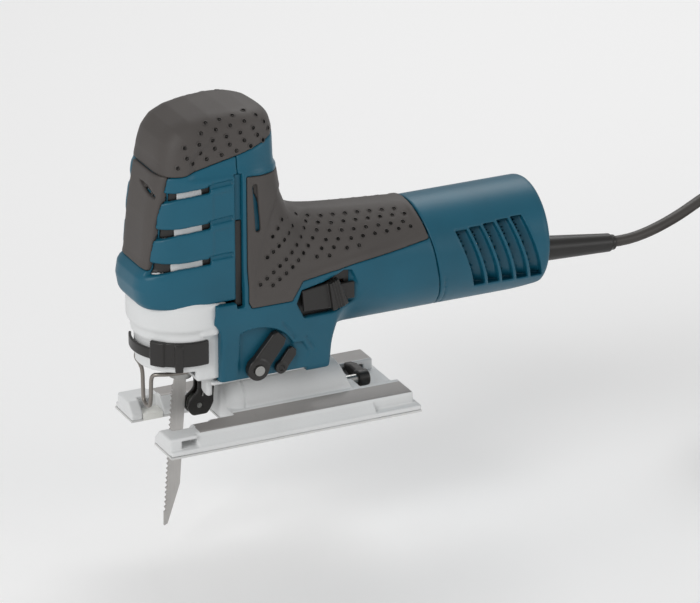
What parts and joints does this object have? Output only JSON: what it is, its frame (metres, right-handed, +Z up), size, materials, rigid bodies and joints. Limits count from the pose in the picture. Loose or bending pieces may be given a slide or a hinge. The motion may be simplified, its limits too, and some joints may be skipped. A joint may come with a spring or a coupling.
{
  "type": "jigsaw power tool",
  "caption": "Corded barrel-grip jigsaw: motor barrel, geared plunger with T-shank blade, roller guide and tilting base plate.",
  "frame": {"origin": "centre of the sole plate's underside, on the bevel axis", "axes": "+X to the rear, along the bevel axis and the motor, so -X is the cutting direction; +Z up, away from the work; -Y is the side with the orbital lever"},
  "size_m": [0.4929, 0.1142, 0.2559],
  "materials": {
    "blue_plastic": "fine moulded texture, satin",
    "soft_grip": "soft-touch, dimpled",
    "black_plastic": "satin moulded",
    "cast_metal": "painted light cast metal",
    "steel": "satin",
    "blade_steel": "ground, set teeth",
    "lamination": "stacked sheet",
    "copper": "enamelled winding",
    "bronze": "sintered",
    "brass": "bright",
    "carbon": "matte",
    "circuit": "potted board",
    "insert_plastic": "smooth",
    "cord_rubber": "satin jacket"
  },
  "bodies": {
    "housing": {"gear_cover": "blue_plastic", "shell_left": "blue_plastic", "shell_right": "blue_plastic", "neck_grip": "soft_grip", "grip_cap": "soft_grip", "motor_barrel": "blue_plastic", "end_cap": "blue_plastic", "gear_housing": "cast_metal", "wire_guard": "steel", "fork_pin": "steel", "bush_upper": "bronze", "bush_lower": "bronze", "gear_axle": "steel", "bearing_front": "steel", "bearing_rear": "steel", "stator_core": "lamination", "stator_windings": "copper", "brush_holders": "brass", "carbon_brushes": "carbon", "brush_springs": "steel", "switch_block": "black_plastic", "speed_module": "circuit", "shell_screws": "steel", "gearbox_screws": "steel", "strain_relief": "cord_rubber", "cord": "cord_rubber", "cord_coil": "cord_rubber", "plug": "black_plastic"},
    "armature": {"armature_shaft": "steel", "armature_core": "lamination", "armature_windings": "copper", "commutator": "copper", "fan": "black_plastic", "pinion": "steel"},
    "drive": {"drive_gear": "steel", "drive_pin": "steel", "counterweight": "steel"},
    "plunger": {"plunger_rod": "steel", "yoke_plate": "steel", "blade_holder": "steel", "holder_spring": "steel", "blade": "blade_steel"},
    "release_lever": {"release_lever": "black_plastic"},
    "fork": {"roller_fork": "black_plastic", "roller_pin": "steel"},
    "roller": {"guide_roller": "steel"},
    "orbit": {"orbit_lever": "black_plastic", "orbit_screw": "steel"},
    "blower": {"blower_lever": "black_plastic"},
    "switch_slide": {"slider_left": "black_plastic", "slider_right": "black_plastic", "switch_link": "black_plastic"},
    "speed_wheel": {"speed_dial": "black_plastic"},
    "base": {"base_plate": "cast_metal", "sole_plate": "steel", "splinter_insert": "insert_plastic", "clamp_screw": "steel", "clamp_block": "steel"},
    "bevel_lock": {"bevel_lever": "black_plastic"}
  },
  "joints": [
    {"name": "motor_spin", "type": "hinge", "parent": "housing", "child": "armature", "pos_m": [0, 0, 0.084], "axis": [1, 0, 0], "continuous": true},
    {"name": "gear_spin", "type": "hinge", "parent": "housing", "child": "drive", "pos_m": [0, 0, 0.1115], "axis": [1, 0, 0], "continuous": true},
    {"name": "plunger_stroke", "type": "slide", "parent": "housing", "child": "plunger", "axis": [0.0732, 0, 0.9973], "range_m": [-0.013, 0.013]},
    {"name": "release_swing", "type": "hinge", "parent": "housing", "child": "release_lever", "pos_m": [-0.055, 0, 0.05], "axis": [0, 0, 1], "range_deg": [-60, 0], "stiffness_Nm_per_rad": 0.02},
    {"name": "fork_swing", "type": "hinge", "parent": "housing", "child": "fork", "pos_m": [-0.038, 0, 0.043], "axis": [0, 1, 0], "range_deg": [-2.5, 0], "stiffness_Nm_per_rad": 0.3, "springref_deg": 2.86},
    {"name": "roller_spin", "type": "hinge", "parent": "fork", "child": "roller", "pos_m": [-0.045, 0, 0.013], "axis": [0, 1, 0], "continuous": true},
    {"name": "orbit_select", "type": "hinge", "parent": "housing", "child": "orbit", "pos_m": [-0.021, 0, 0.042], "axis": [0, 1, 0], "range_deg": [-60, 0]},
    {"name": "blower_swing", "type": "hinge", "parent": "housing", "child": "blower", "pos_m": [-0.006, 0, 0.04], "axis": [0, 1, 0], "range_deg": [0, 40]},
    {"name": "switch_travel", "type": "slide", "parent": "housing", "child": "switch_slide", "axis": [1, 0, 0], "range_m": [0, 0.005]},
    {"name": "dial_turn", "type": "hinge", "parent": "housing", "child": "speed_wheel", "pos_m": [0.16, 0, 0.104], "axis": [0, 1, 0], "range_deg": [0, 270]},
    {"name": "base_bevel", "type": "hinge", "parent": "housing", "child": "base", "pos_m": [0, 0, 0], "axis": [1, 0, 0], "range_deg": [-45, 45]},
    {"name": "bevel_lock", "type": "hinge", "parent": "base", "child": "bevel_lock", "pos_m": [0.06, 0, 0.009], "axis": [1, 0, 0], "range_deg": [0, 35]}
  ],
  "couplings": [
    {"joint": "gear_spin", "follows": "motor_spin", "ratio": -0.19565}
  ]
}
